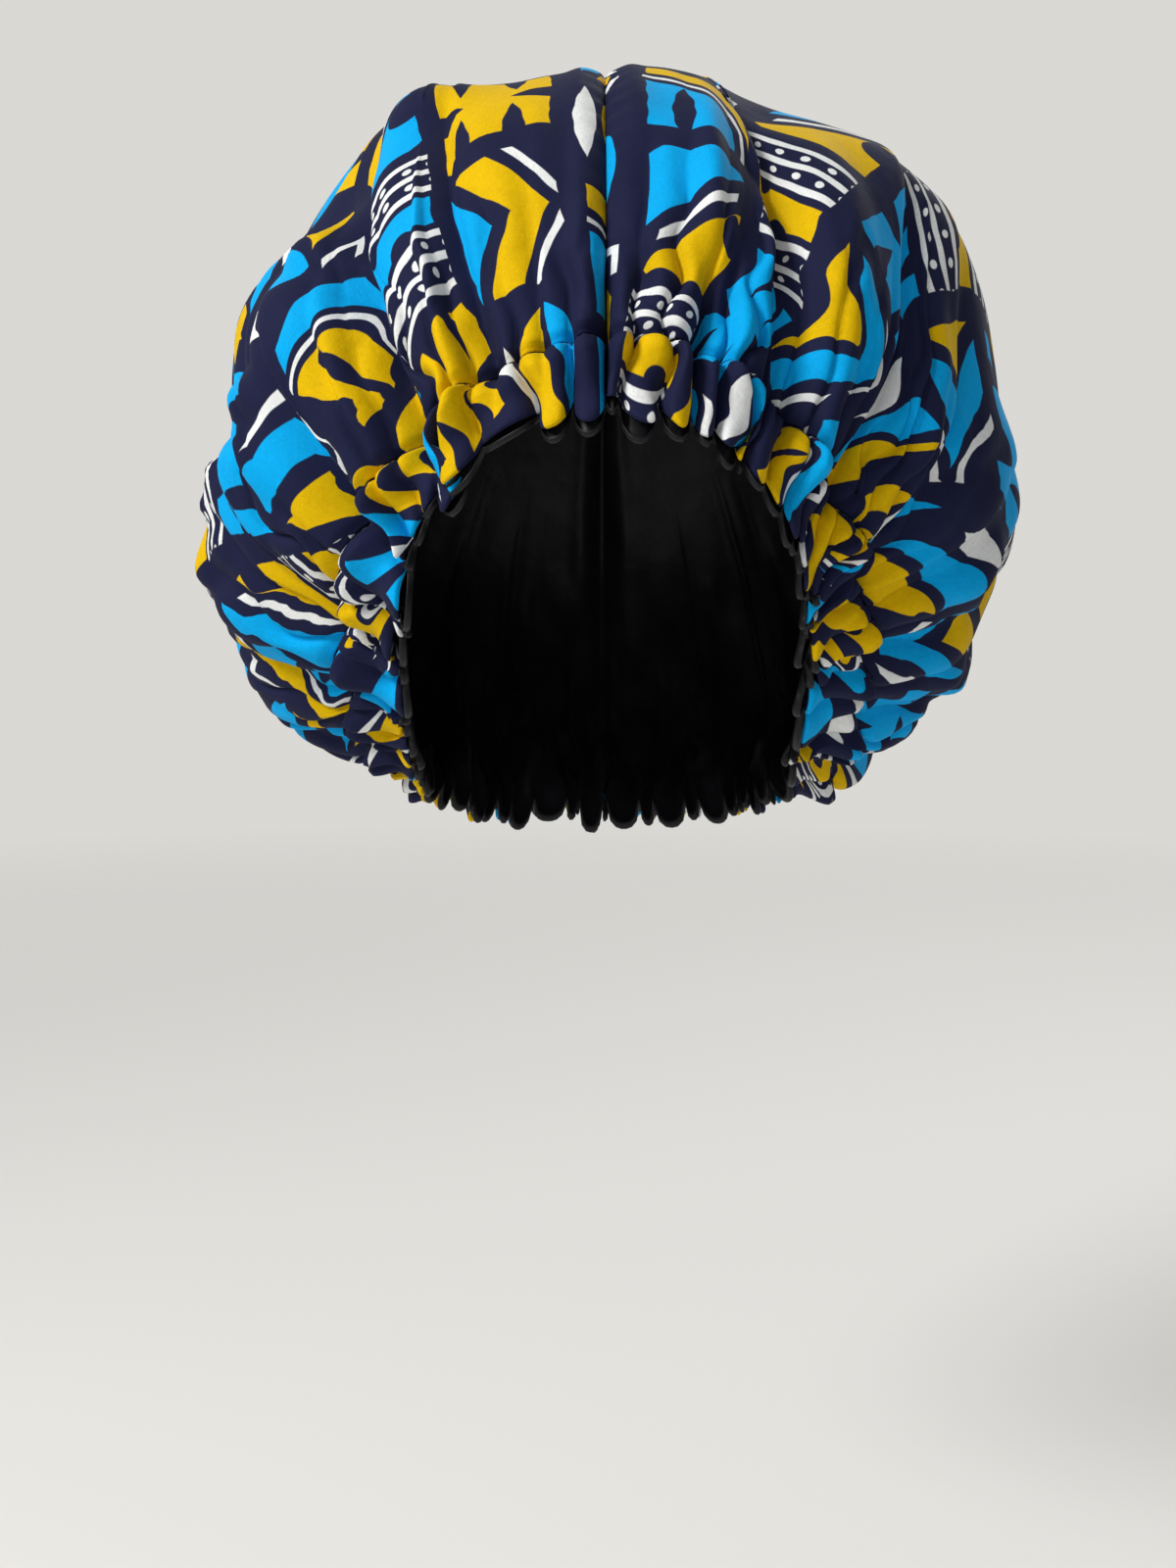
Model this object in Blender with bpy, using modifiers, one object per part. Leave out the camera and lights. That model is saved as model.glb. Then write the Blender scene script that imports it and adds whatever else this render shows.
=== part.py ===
"""Hair bonnet: two printed cotton panels sewn along a centre seam, an elasticated casing and a satin lining.

The bonnet is built as it is worn, puffed out over the hair. +Z is up and the face opening looks along -Y. The origin
is the middle of the opening, where the elastic grips the head. Every surface is placed by two numbers: an angle round
the opening, 0 at the front seam and growing towards +X, and a way from the crown (0) down to the lip (1).
"""

from collections import namedtuple

import bmesh
import bpy
import numpy as np
from mathutils import Vector

MM = 0.001

# The opening. Its lip is a saddle-shaped loop from the hairline, past the ears, to the nape.
LIP_HALF_WIDTH = 79.7 * MM
LIP_SQUARENESS = 0.097
LIP_HALF_DEPTH = 89.0 * MM
LIP_HALF_RISE = 75.0 * MM
LIP_SADDLE = 12.5 * MM

# The puffed body, a rounded form about its own centre, fuller below than an ellipsoid.
PUFF_CENTRE = np.array([0.0, 45.0, 57.0]) * MM
PUFF_HALF_WIDTH = 154.0 * MM
PUFF_FRONT = 140.0 * MM
PUFF_BACK = 125.0 * MM
PUFF_UP = 159.0 * MM
PUFF_DOWN = 125.0 * MM
PUFF_FULLNESS = 2.15
CROWN_TILT = np.array([0.0, 0.62, 0.785])

# Ways along a meridian, as shares of the way from the crown to the lip.
PINCH_START = 0.74
GATHER_START = 0.76
STITCH_LINE = 0.92
CASING_START = 0.9225
CASING_SCALLOP_START = 0.95
LINING_ROLL_START = 0.975
LINING_LIP = 1.008
SCALLOP = 0.012

# Cloth walls and the gaps between them.
COTTON_WALL = 1.2 * MM
SATIN_WALL = 1.0 * MM
LINING_DROP = 4.6 * MM
LINING_LIP_DROP = 2.2 * MM
HALF_SEAM_GAP = 0.25 * MM
WELD = 0.00001

# Gathers drawn up by the elastic, counted from the front seam to the nape seam on one side.
GATHERS_PER_SIDE = 21
GATHER_DEPTH = 5.0 * MM
GATHER_UNEVENNESS = 0.5
GATHER_SHOULDERS = (0.0, 0.3, 0.7)
LINING_GATHER_SHARE = 0.6
GATHER_SEEDS = {-1: 7, 1: 3}

PANEL_WAYS = (0.0, 0.16, 0.31, 0.44, 0.55, 0.65, 0.74, 0.82, 0.875, STITCH_LINE)
LINING_WAYS = (0.0, 0.31, 0.44, 0.55, 0.65, 0.74, 0.82, 0.875, STITCH_LINE, 0.97, LINING_LIP)

# How high the casing stands off the hair and how far its ridges and valleys differ, on its way to the lip.
CasingRow = namedtuple("CasingRow", "way swell ridge")
CASING_ROWS = (
    CasingRow(way=CASING_START, swell=0.0, ridge=0.55),
    CasingRow(way=0.948, swell=1.6, ridge=1.0),
    CasingRow(way=0.976, swell=1.6, ridge=1.0),
    CasingRow(way=1.0, swell=0.0, ridge=0.6),
)

# A crease widens by this share of its width from its foot to its top, deepens over a stretch of the way, and has a
# soft shoulder at some widths from its middle.
CREASE_SPREAD = 0.9
CREASE_DEEPENS_OVER = 0.22
CREASE_SHARPNESS = 1.4
SHOULDER_SHARE = 0.35
SHOULDER_AT = 2.2

# Creases run from a foot at the casing to a top nearer the crown. Angles and widths are in degrees, depths in mm.
Crease = namedtuple("Crease", "foot top reach depth width")
CREASES = (
    Crease(foot=0.0, top=0.0, reach=0.02, depth=3.0, width=1.6),
    Crease(foot=-10.2, top=-11.5, reach=0.70, depth=5.0, width=2.4),
    Crease(foot=-19.0, top=-29.0, reach=0.45, depth=7.0, width=3.0),
    Crease(foot=-36.8, top=-42.0, reach=0.48, depth=10.0, width=4.0),
    Crease(foot=-55.0, top=-56.0, reach=0.66, depth=6.0, width=3.6),
    Crease(foot=-75.0, top=-70.0, reach=0.60, depth=8.0, width=4.2),
    Crease(foot=-88.5, top=-97.0, reach=0.66, depth=7.0, width=4.2),
    Crease(foot=-104.0, top=-114.0, reach=0.72, depth=7.0, width=4.2),
    Crease(foot=-124.0, top=-130.0, reach=0.62, depth=7.0, width=4.4),
    Crease(foot=-143.0, top=-146.0, reach=0.56, depth=8.0, width=4.2),
    Crease(foot=-163.0, top=-160.0, reach=0.62, depth=6.0, width=3.6),
    Crease(foot=14.8, top=21.5, reach=0.70, depth=5.0, width=2.6),
    Crease(foot=31.3, top=23.0, reach=0.48, depth=9.0, width=3.4),
    Crease(foot=49.8, top=51.8, reach=0.48, depth=9.0, width=3.8),
    Crease(foot=64.0, top=61.0, reach=0.52, depth=7.0, width=3.6),
    Crease(foot=71.0, top=79.0, reach=0.64, depth=6.0, width=3.0),
    Crease(foot=81.0, top=92.0, reach=0.66, depth=8.0, width=3.6),
    Crease(foot=94.0, top=105.0, reach=0.72, depth=7.0, width=4.0),
    Crease(foot=113.0, top=121.0, reach=0.64, depth=7.0, width=4.4),
    Crease(foot=134.0, top=138.0, reach=0.56, depth=8.0, width=4.2),
    Crease(foot=154.0, top=157.0, reach=0.62, depth=6.0, width=3.6),
    Crease(foot=180.0, top=180.0, reach=0.02, depth=3.0, width=1.6),
)

# Broad swells and dents of the puffed body. Angle and spread are in degrees, height in mm, way and length in shares.
Swell = namedtuple("Swell", "angle way height spread length")
SWELLS = (
    Swell(angle=-33.0, way=0.49, height=8.5, spread=8.0, length=0.06),
    Swell(angle=-53.0, way=0.55, height=-15.0, spread=12.0, length=0.07),
    Swell(angle=-64.0, way=0.43, height=-15.0, spread=11.0, length=0.07),
    Swell(angle=-82.0, way=0.63, height=-17.0, spread=15.0, length=0.08),
    Swell(angle=-98.0, way=0.46, height=-9.0, spread=24.0, length=0.10),
    Swell(angle=-75.0, way=0.27, height=5.0, spread=34.0, length=0.11),
    Swell(angle=-57.0, way=0.72, height=4.0, spread=10.0, length=0.06),
    Swell(angle=-112.0, way=0.81, height=10.5, spread=16.0, length=0.10),
    Swell(angle=-126.0, way=0.84, height=6.0, spread=12.0, length=0.10),
    Swell(angle=28.0, way=0.50, height=-5.0, spread=10.0, length=0.07),
    Swell(angle=37.0, way=0.38, height=-5.0, spread=12.0, length=0.08),
    Swell(angle=55.0, way=0.54, height=8.0, spread=12.0, length=0.08),
    Swell(angle=75.0, way=0.61, height=-7.0, spread=7.0, length=0.06),
    Swell(angle=86.0, way=0.75, height=-9.0, spread=6.0, length=0.04),
    Swell(angle=97.0, way=0.74, height=-4.0, spread=8.0, length=0.07),
    Swell(angle=120.0, way=0.84, height=17.0, spread=17.0, length=0.10),
    Swell(angle=150.0, way=0.50, height=5.0, spread=20.0, length=0.14),
    Swell(angle=-150.0, way=0.56, height=5.0, spread=22.0, length=0.14),
)

FINISHES = {
    "printed_cotton": dict(colour=(0.014, 0.016, 0.045), roughness=0.85),
    "casing_cotton": dict(colour=(0.018, 0.022, 0.060), roughness=0.85),
    "black_satin": dict(colour=(0.008, 0.008, 0.010), roughness=0.38),
}


def unit(vectors):
    return vectors / np.linalg.norm(vectors, axis=-1, keepdims=True)


def ease(value, start, end):
    """0 before start, 1 after end, and a smooth step between them."""
    share = np.clip((value - start) / (end - start), 0.0, 1.0)
    return share * share * (3.0 - 2.0 * share)


def wrapped(degrees):
    return (degrees + 180.0) % 360.0 - 180.0


def lip_point(angle):
    """The lip at an angle in radians, a wide loop that dips at the ears."""
    x = LIP_HALF_WIDTH * (np.sin(angle) + LIP_SQUARENESS * np.sin(3 * angle))
    y = -LIP_HALF_DEPTH * np.cos(angle)
    z = LIP_HALF_RISE * np.cos(angle) + LIP_SADDLE * np.cos(2 * angle)
    return np.stack([x, y, z], -1)


def puff_radius(direction):
    """Distance from the puff's centre to its rounded surface, with its own size up, down, forwards and back."""
    depth = np.where(direction[..., 1] < 0, PUFF_FRONT, PUFF_BACK)
    rise = np.where(direction[..., 2] < 0, PUFF_DOWN, PUFF_UP)
    sizes = np.stack([np.full(depth.shape, PUFF_HALF_WIDTH), depth, rise], -1)
    return (np.abs(direction / sizes) ** PUFF_FULLNESS).sum(-1) ** (-1 / PUFF_FULLNESS)


def meridian_direction(angle, way):
    """The direction from the puff's centre, turned from the crown towards the lip by a share of the way."""
    crown = unit(CROWN_TILT)
    to_lip = unit(lip_point(angle) - PUFF_CENTRE)
    along_crown = (to_lip * crown).sum(-1)
    across = unit(to_lip - along_crown[..., None] * crown)
    turn = way * np.arccos(along_crown)
    return np.cos(turn)[..., None] * crown + np.sin(turn)[..., None] * across


def crease_relief(degrees, way):
    """Sharp valleys with a soft shoulder on each side, in metres, below zero in the valleys."""
    relief = np.zeros(np.broadcast(degrees, way).shape)
    for crease in CREASES:
        run = np.clip((way - crease.reach) / (STITCH_LINE - crease.reach), 0.0, 1.0)
        line = crease.foot + (1 - run) * wrapped(crease.top - crease.foot)
        off = np.abs(wrapped(degrees - line)) / (crease.width * (1.0 + CREASE_SPREAD * (1 - run)))
        valley = np.exp(-(off**CREASE_SHARPNESS))
        shoulder = SHOULDER_SHARE * np.exp(-((off - SHOULDER_AT) ** 2))
        strength = ease(way, crease.reach, crease.reach + CREASE_DEEPENS_OVER)
        relief -= crease.depth * MM * strength * (valley - shoulder)
    return relief


def swell_relief(degrees, way):
    relief = np.zeros(np.broadcast(degrees, way).shape)
    for swell in SWELLS:
        across = wrapped(degrees - swell.angle) / swell.spread
        along = (way - swell.way) / swell.length
        relief += swell.height * MM * np.exp(-(across**2) - along**2)
    return relief


def worn_relief(degrees, way):
    """All creases and swells of the puffed body, which fade out on the way from the stitch line to the lip."""
    return (crease_relief(degrees, way) + swell_relief(degrees, way)) * (1 - ease(way, STITCH_LINE, 1.0))


def body_point(angle, way, lift):
    """A point of the bonnet, lifted outwards from its smooth body. Near the lip the body is drawn in to the head."""
    direction = meridian_direction(angle, way)
    lip_radius = np.linalg.norm(lip_point(angle) - PUFF_CENTRE, axis=-1)
    drawn_in = ease(way, PINCH_START, 1.0)
    radius = puff_radius(direction) * (1 - drawn_in) + lip_radius * drawn_in
    return PUFF_CENTRE + direction * (radius + lift)[..., None]


def gather_columns(side):
    """Angles round one side of the opening, three to a gather, each with 1 on a ridge and 0 in a valley."""
    random = np.random.default_rng(GATHER_SEEDS[side])
    widths = 1.0 + GATHER_UNEVENNESS * (random.random(GATHERS_PER_SIDE) - 0.5)
    edges = 180.0 * np.concatenate([[0.0], np.cumsum(widths)]) / widths.sum()
    degrees = [low + share * (high - low) for low, high in zip(edges, edges[1:]) for share in GATHER_SHOULDERS]
    ridge = [float(share > 0) for _ in range(GATHERS_PER_SIDE) for share in GATHER_SHOULDERS]
    return side * np.array(degrees + [180.0]), np.array(ridge + [0.0])


def ring_columns():
    """The columns of both sides as one ring, from the nape round by the front to the nape."""
    left_degrees, left_ridge = gather_columns(-1)
    right_degrees, right_ridge = gather_columns(1)
    degrees = np.concatenate([left_degrees[::-1], right_degrees[1:]])
    return degrees, np.concatenate([left_ridge[::-1], right_ridge[1:]])


def panel_surface(degrees, ridge, way):
    gathered = GATHER_DEPTH * CASING_ROWS[0].ridge * ease(way, GATHER_START, STITCH_LINE)
    lift = worn_relief(degrees, way) + gathered * ridge
    return body_point(np.radians(degrees), way, lift)


def casing_surface(degrees, ridge, row):
    way = row.way + SCALLOP * (ridge - 0.5) * ease(row.way, CASING_SCALLOP_START, 1.0)
    lift = worn_relief(degrees, way) + row.swell * MM + GATHER_DEPTH * row.ridge * ridge
    return body_point(np.radians(degrees), way, lift)


def lining_surface(degrees, ridge, way):
    """The satin follows the panels and the casing at a drop, and rolls out past the casing's edge at the lip."""
    rolled = ease(way, LINING_ROLL_START, LINING_LIP)
    drop = LINING_DROP + (LINING_LIP_DROP - LINING_DROP) * rolled
    gathered = GATHER_DEPTH * LINING_GATHER_SHARE * ease(way, GATHER_START, STITCH_LINE)
    scalloped = way + SCALLOP * (ridge - 0.5) * rolled
    lift = worn_relief(degrees, way) + gathered * ridge - drop
    return body_point(np.radians(degrees), scalloped, lift)


def material(name):
    finish = FINISHES[name]
    made = bpy.data.materials.new(name)
    made.use_nodes = True
    shader = made.node_tree.nodes["Principled BSDF"]
    shader.inputs["Base Color"].default_value = (*finish["colour"], 1.0)
    shader.inputs["Roughness"].default_value = finish["roughness"]
    made.diffuse_color = (*finish["colour"], 1.0)
    return made


def cloth(name, points, wall, finish, collection):
    """A named sheet of cloth. points[row][column] are its outer face, and Solidify gives it its wall inwards."""
    rows, columns = points.shape[:2]
    mesh = bpy.data.meshes.new(name)
    shell = bmesh.new()
    bmesh.ops.create_grid(shell, x_segments=columns - 1, y_segments=rows - 1, size=1.0)
    for vertex in shell.verts:
        column = round((vertex.co.x + 1) / 2 * (columns - 1))
        row = round((vertex.co.y + 1) / 2 * (rows - 1))
        vertex.co = points[row, column]
    bmesh.ops.remove_doubles(shell, verts=shell.verts, dist=WELD)
    bmesh.ops.recalc_face_normals(shell, faces=shell.faces)
    middle = Vector(PUFF_CENTRE)
    outwards = sum((face.calc_center_median() - middle).dot(face.normal) * face.calc_area() for face in shell.faces)
    if outwards < 0:
        bmesh.ops.reverse_faces(shell, faces=shell.faces)
    shell.to_mesh(mesh)
    shell.free()
    mesh.shade_smooth()
    sheet = bpy.data.objects.new(name, mesh)
    sheet.data.materials.append(material(finish))
    thickness = sheet.modifiers.new("wall", "SOLIDIFY")
    thickness.thickness = wall
    thickness.offset = -1.0
    collection.objects.link(sheet)
    return sheet


def build():
    for old in list(bpy.data.objects):
        bpy.data.objects.remove(old)
    bonnet = bpy.data.collections.new("hair_bonnet")
    bpy.context.scene.collection.children.link(bonnet)

    for name, side in (("left_panel", -1), ("right_panel", 1)):
        degrees, ridge = gather_columns(side)
        points = panel_surface(degrees[None, :], ridge[None, :], np.array(PANEL_WAYS)[:, None])
        panel = cloth(name, points, COTTON_WALL, "printed_cotton", bonnet)
        panel.location.x = side * HALF_SEAM_GAP

    degrees, ridge = ring_columns()
    casing = np.stack([casing_surface(degrees, ridge, row) for row in CASING_ROWS])
    cloth("elastic_casing", casing, COTTON_WALL, "casing_cotton", bonnet)
    lining = lining_surface(degrees[None, :], ridge[None, :], np.array(LINING_WAYS)[:, None])
    cloth("satin_lining", lining, SATIN_WALL, "black_satin", bonnet)


build()
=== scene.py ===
"""The looks of the hair bonnet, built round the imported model.

Every surface is placed by an angle and a way. The angle runs round the face opening, is 0 at the front seam
and grows towards +X. The way runs from the crown (0) to the lip of the opening (1). The same rule gives the
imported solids, so the cloth lies where they are. The printed cloth also keeps its place on the flat disc that
it was cut from, so the print runs into every fold as on real cloth.
"""

import math
from collections import namedtuple

import bpy
import numpy as np
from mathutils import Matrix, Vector


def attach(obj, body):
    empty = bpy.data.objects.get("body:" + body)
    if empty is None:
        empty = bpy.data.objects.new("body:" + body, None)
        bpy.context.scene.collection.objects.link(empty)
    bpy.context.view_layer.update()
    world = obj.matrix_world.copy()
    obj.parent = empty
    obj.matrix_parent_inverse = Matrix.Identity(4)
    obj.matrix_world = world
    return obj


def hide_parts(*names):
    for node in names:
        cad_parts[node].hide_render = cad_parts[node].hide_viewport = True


MM = 0.001
SIDES = (-1, 1)

# The opening and the puffed body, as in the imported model.
LIP_HALF_WIDTH = 79.7 * MM
LIP_SQUARENESS = 0.097
LIP_HALF_DEPTH = 89.0 * MM
LIP_HALF_RISE = 75.0 * MM
LIP_SADDLE = 12.5 * MM
PUFF_CENTRE = np.array([0.0, 45.0, 57.0]) * MM
PUFF_HALF_WIDTH = 154.0 * MM
PUFF_FRONT = 140.0 * MM
PUFF_BACK = 125.0 * MM
PUFF_UP = 159.0 * MM
PUFF_DOWN = 125.0 * MM
PUFF_FULLNESS = 2.15
CROWN_TILT = np.array([0.0, 0.62, 0.785])
PINCH_START = 0.74
STITCH_LINE = 0.92

# The cloth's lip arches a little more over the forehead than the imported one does. Angles are in degrees.
LIP_ARCH = 7.5 * MM
LIP_ARCH_AT = 6.0
LIP_ARCH_SPREAD = 27.0
ARCH_START = 0.72

# The length of cloth from the crown to the lip is the radius of the flat disc that it was cut from.
MERIDIAN = 320.0 * MM
FLAT_RADIUS = MERIDIAN

# Creases run from a foot at the casing to a top nearer the crown, and start at reach. Angles and widths are
# in degrees, depths in mm.
Crease = namedtuple("Crease", "foot top reach depth width")
CREASES = [Crease(*row) for row in (
    (0.0, 0.0, 0.02, 3.0, 1.6),
    (-10.2, -11.5, 0.70, 5.0, 2.4),
    (-19.0, -29.0, 0.45, 7.0, 3.0),
    (-36.8, -42.0, 0.48, 10.0, 4.0),
    (-55.0, -56.0, 0.66, 6.0, 3.6),
    (-75.0, -70.0, 0.60, 8.0, 4.2),
    (-88.5, -97.0, 0.66, 7.0, 4.2),
    (-104.0, -114.0, 0.72, 7.0, 4.2),
    (-124.0, -130.0, 0.62, 7.0, 4.4),
    (-143.0, -146.0, 0.56, 8.0, 4.2),
    (-163.0, -160.0, 0.62, 6.0, 3.6),
    (14.8, 21.5, 0.70, 5.0, 2.6),
    (31.3, 23.0, 0.48, 9.0, 3.4),
    (49.8, 51.8, 0.48, 9.0, 3.8),
    (64.0, 61.0, 0.52, 7.0, 3.6),
    (71.0, 79.0, 0.64, 6.0, 3.0),
    (81.0, 92.0, 0.66, 8.0, 3.6),
    (94.0, 105.0, 0.72, 7.0, 4.0),
    (113.0, 121.0, 0.64, 7.0, 4.4),
    (134.0, 138.0, 0.56, 8.0, 4.2),
    (154.0, 157.0, 0.62, 6.0, 3.6),
    (180.0, 180.0, 0.02, 3.0, 1.6),
)]
CREASE_SPREAD = 0.9
CREASE_DEEPENS_OVER = 0.22
CREASE_SHARPNESS = 1.4
CREASE_CORE = 0.5
SHOULDER_SHARE = 0.35
SHOULDER_AT = 2.2

# In the cloth each crease is also a sharp line, and its side towards the front seam stands over the other.
TUCK_SHARE = 0.34
TUCK_WIDTH = 2.0
TUCK_EDGE = 0.10
TUCK_REACH = 0.12
LINE_SHARE = 0.36
LINE_WIDTH = 0.10

# Broad swells and dents of the puffed body. Angle and spread are in degrees, height in mm.
Swell = namedtuple("Swell", "angle way height spread length")
SWELLS = [Swell(*row) for row in (
    (-33.0, 0.49, 8.5, 8.0, 0.06),
    (-53.0, 0.55, -15.0, 12.0, 0.07),
    (-64.0, 0.43, -15.0, 11.0, 0.07),
    (-82.0, 0.63, -17.0, 15.0, 0.08),
    (-98.0, 0.46, -9.0, 24.0, 0.10),
    (-75.0, 0.27, 5.0, 34.0, 0.11),
    (-57.0, 0.72, 4.0, 10.0, 0.06),
    (-112.0, 0.81, 10.5, 16.0, 0.10),
    (-126.0, 0.84, 6.0, 12.0, 0.10),
    (28.0, 0.50, -5.0, 10.0, 0.07),
    (37.0, 0.38, -5.0, 12.0, 0.08),
    (55.0, 0.54, 8.0, 12.0, 0.08),
    (75.0, 0.61, -7.0, 7.0, 0.06),
    (86.0, 0.75, -9.0, 6.0, 0.04),
    (97.0, 0.74, -4.0, 8.0, 0.07),
    (120.0, 0.84, 17.0, 17.0, 0.10),
    (150.0, 0.50, 5.0, 20.0, 0.14),
    (-150.0, 0.56, 5.0, 22.0, 0.14),
)]

# Short folds where the cloth drops over itself, from one place to another. Depth and width are in mm, and
# the cloth towards the crown stands over the fold by lip. A depth below zero is a ridge.
Fold = namedtuple("Fold", "from_deg from_way to_deg to_way depth width lip")
FOLDS = [Fold(*row) for row in (
    (-57.0, 0.63, -38.0, 0.765, 5.0, 7.0, 4.0),
    (-60.0, 0.66, -73.0, 0.72, 6.5, 12.0, 0.0),
    (-73.5, 0.70, -79.0, 0.73, -6.5, 9.0, 0.0),
    (-95.0, 0.74, -77.0, 0.80, 4.0, 6.0, 0.8),
    (-71.0, 0.70, -60.0, 0.78, 3.5, 5.0, 2.0),
    (-31.0, 0.76, -24.0, 0.84, 2.5, 4.0, 1.0),
    (-8.0, 0.80, -3.0, 0.90, 3.0, 3.5, 1.0),
    (4.0, 0.79, 8.0, 0.90, 2.5, 4.0, 1.0),
    (22.0, 0.62, 30.0, 0.74, 3.0, 5.0, 1.5),
    (40.0, 0.76, 47.0, 0.86, 3.0, 4.5, 1.5),
    (57.0, 0.80, 61.0, 0.89, 3.0, 4.0, 1.0),
    (74.0, 0.70, 66.0, 0.80, 3.0, 5.0, 1.5),
    (88.0, 0.80, 76.0, 0.86, 3.5, 5.0, 2.0),
    (108.0, 0.78, 92.0, 0.86, 3.5, 5.0, 2.0),
)]
DEGREE = 2.5 * MM
FOLD_SHARPNESS = 1.5
FOLD_STAND_AT = 1.3
FOLD_BEGINS = (-0.15, 0.25)
FOLD_ENDS = (0.75, 1.15)

# Small slanting folds above the casing, one for each pitch. A pair is the least and the most of a draw.
SMALL_FOLD_SEED = 100
SMALL_FOLD_ANGLES = (6.0, 176.0)
SMALL_FOLD_PITCH = 7.5
SMALL_FOLD_SHIFT = (-2.5, 2.5)
SMALL_FOLD_LEAN = (-6.0, 6.0)
SMALL_FOLD_TOP = (0.66, 0.80)
SMALL_FOLD_FALL = (0.07, 0.12)
SMALL_FOLD_LOWEST = 0.9
SMALL_FOLD_DEPTH = (1.0, 2.6)
SMALL_FOLD_WIDTH = (3.0, 5.0)
SMALL_FOLD_LIP = 0.4

# Smooth random relief: sine waves with whole turns round the opening and some rise along the way. Height is
# in mm, and the relief grows from nothing to its full height over a stretch.
Ripple = namedtuple("Ripple", "seed count turns rise height grows")
BROAD_WAVES = Ripple(5, 9, (2, 7), (3.0, 14.0), 1.3, (0.1, 0.4))
FINE_WAVES = Ripple(8, 14, (14, 44), (6.0, 30.0), 0.45, (0.3, 0.7))
SEAM_PUCKER = Ripple(17, 4, (0, 1), (150.0, 240.0), 0.45, (0.1, 0.25))
CASING_CRUMPLE = Ripple(23, 10, (20, 70), (40.0, 130.0), 0.45, (0.0, 0.2))
LINING_CRUMPLE = Ripple(31, 12, (8, 36), (8.0, 60.0), 0.8, (0.4, 0.8))
SEAM_CALM_WIDTH = 4.0
PUCKER_WIDTH = 3.2

# Gathers drawn up by the elastic on one side, from the front seam to the nape seam. The first few are wider.
GATHERS_PER_SIDE = 41
COLUMNS_PER_GATHER = 9
FEWEST_COLUMNS = 5
SEEDS = {-1: 11, 1: 29}
GATHER_DEPTH = 5.6 * MM
GATHER_ROUNDNESS = 2.4
GATHER_FULLNESS = 0.62
WIDTH_SPREAD = 0.50
WIDTH_LIMITS = (0.45, 2.3)
FRONT_WIDENING = 0.45
FRONT_GATHERS = 7.0

# How the gathers differ. Valleys are in mm, lean and wander in degrees.
HEIGHT_LIMITS = (0.7, 1.35)
HEIGHT_CHANCE = (0.7, 1.25)
REACHES = (0.40, 0.50, 0.58, 0.66, 0.73, 0.79)
REACH_POWER = 1.2
LIP_WAVE = 0.023
LIP_WAVE_SPREAD = 0.65
LIP_WAVE_MIDDLE = 0.5
NAPE_CALM = 0.5
NAPE_STRETCH = (100.0, 150.0)
BULGE_PLACES = (0.12, 0.45)
TIP_CHANCE = (-0.35, 0.35)
VALLEY_DEPTHS = (0.0, 1.3)
VALLEY_WIDTH = 0.12
LEAN = 2.0
LEAN_BACK = 0.5
DRIFT_START = 0.5
WANDER = 0.9
WANDER_TURNS = 60.0
WANDER_START = 0.6

# The panels' rows, from a pinhole at the crown to the stitch line, where the cloth tucks in under the casing.
PANEL_ROWS = 118
PANEL_ROW_POWER = 1.25
CROWN_HOLE = 0.0015
PANEL_OVERLAP = 0.001
PANEL_GATHER_SHARE = 0.92
PANEL_TUCK = 2.6 * MM
PANEL_TUCK_LENGTH = 0.012
SEAM_TURN = 1.8 * MM
HALF_SEAM_GAP = 0.12 * MM
COTTON_WALL = 0.5 * MM
WELD = 0.01 * MM

# The casing from stitch line to lip: how far it stands off in mm, and its share of the gathers' depth.
CasingStep = namedtuple("CasingStep", "at swell ridge")
CASING_STEPS = [CasingStep(*row) for row in (
    (0.0, -2.4, 0.55),
    (0.05, -1.2, 0.85),
    (0.14, 1.6, 1.15),
    (0.32, 2.4, 1.25),
    (0.62, 1.0, 1.12),
    (0.85, 0.8, 1.08),
    (1.0, 0.8, 1.05),
)]
CASING_START = 0.921
CASING_ROWS = 26
CASING_ROW_POWER = 1.15
CURL_ROWS = 8
CURL_RADIUS = 1.3 * MM
BULGE = 2.4 * MM
BULGE_LENGTH = 0.24
FLARE = 2.8 * MM
FLARE_START = 0.65
TIP_GROWS = (0.1, 0.5)
LIP_WAVE_START = 0.3

# The satin lies inside the cotton at a drop, and rolls out past the casing's lip.
LINING_COLUMNS_PER_GATHER = 6
LINING_ROWS = 66
LINING_EDGE_ROWS = 9
LINING_DROP = 3.4 * MM
LINING_EDGE_DROP = 1.9 * MM
LINING_PLEAT = 2.4 * MM
LINING_GATHER_SHARE = 0.35
LINING_EDGE_SHARE = 1.05
LINING_ROLL_START = 0.965
LINING_ROLL = 1.4 * MM
LINING_REACH = 0.009
LINING_LEAST_REACH = 0.75
LINING_REACH_SPREAD = 1.7
SATIN_WALL = 0.45 * MM

# Stitches that close the casing, as thin threads with pointed ends.
STITCH_PITCH = 3.1 * MM
STITCH_LENGTH = 2.5 * MM
STITCH_RINGS = 5
STITCH_SIDES = 6
STITCH_STEP = 0.045
FIRST_STITCH = 1.0 * MM
THREAD_RADIUS = 0.24 * MM
THREAD_TIP = 0.05
THREAD_STANDS_OFF = 0.6

# How the cloth that the gathers take up is shared out: to their valleys, to creases, and evenly.
HIDDEN_WIDTH = 0.10
CREASE_HIDES = 0.12
EVEN_SHARE = 0.015
# The crown's row has no width, and this keeps it from a division by zero.
LEAST_ARC = 1e-9

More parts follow.
